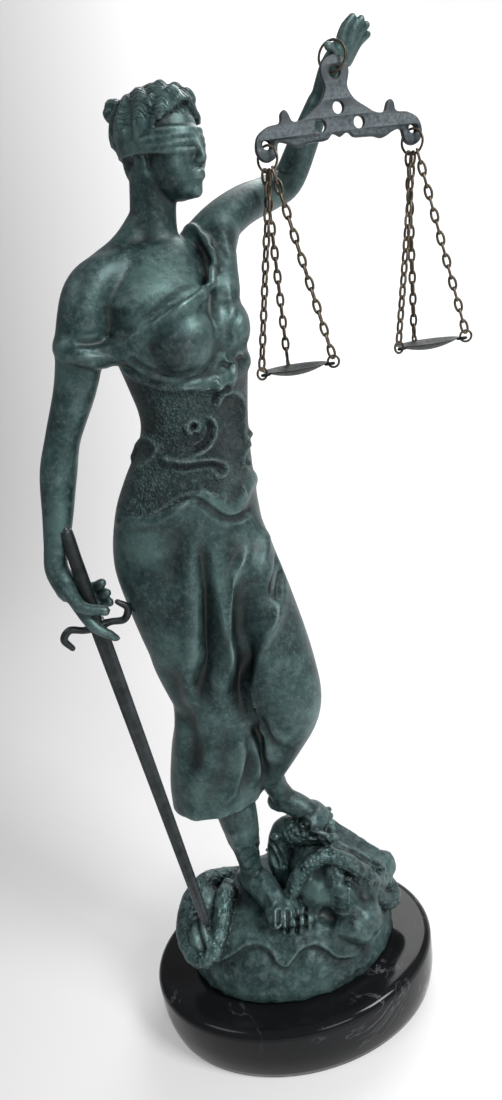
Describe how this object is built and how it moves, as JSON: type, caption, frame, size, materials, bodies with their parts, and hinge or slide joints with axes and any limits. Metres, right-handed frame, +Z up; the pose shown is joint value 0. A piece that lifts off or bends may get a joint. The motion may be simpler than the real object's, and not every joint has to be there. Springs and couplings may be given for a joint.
{
  "type": "lady justice statue",
  "caption": "Tabletop figure of Lady Justice, blindfolded, with a lowered sword and raised scales, cast in patinated bronze on an oval stone plinth.",
  "frame": {"origin": "centre of the plinth's underside", "axes": "+Z up, +X to the viewer's right along the plinth's long axis, +Y behind the figure"},
  "size_m": [0.212, 0.1155, 0.4722],
  "materials": {
    "marble": "polished black marble",
    "bronze": "cast bronze with a waxed dark blue-green patina",
    "dark_bronze": "cast bronze with a near-black patina",
    "beam_bronze": "cast bronze with a grey-brown patina and traces of green",
    "chain_brass": "darkened brass wire"
  },
  "bodies": {
    "root": {"plinth": "marble", "figure": "bronze", "sword": "dark_bronze", "beam": "beam_bronze", "hook_ring": "chain_brass", "left_end_ring": "chain_brass", "right_end_ring": "chain_brass", "left_pan": "beam_bronze", "right_pan": "beam_bronze", "left_lug_ring_1": "chain_brass", "left_lug_ring_2": "chain_brass", "left_lug_ring_3": "chain_brass", "right_lug_ring_1": "chain_brass", "right_lug_ring_2": "chain_brass", "right_lug_ring_3": "chain_brass", "left_chain_1": "chain_brass", "left_chain_2": "chain_brass", "left_chain_3": "chain_brass", "right_chain_1": "chain_brass", "right_chain_2": "chain_brass", "right_chain_3": "chain_brass"}
  },
  "joints": []
}
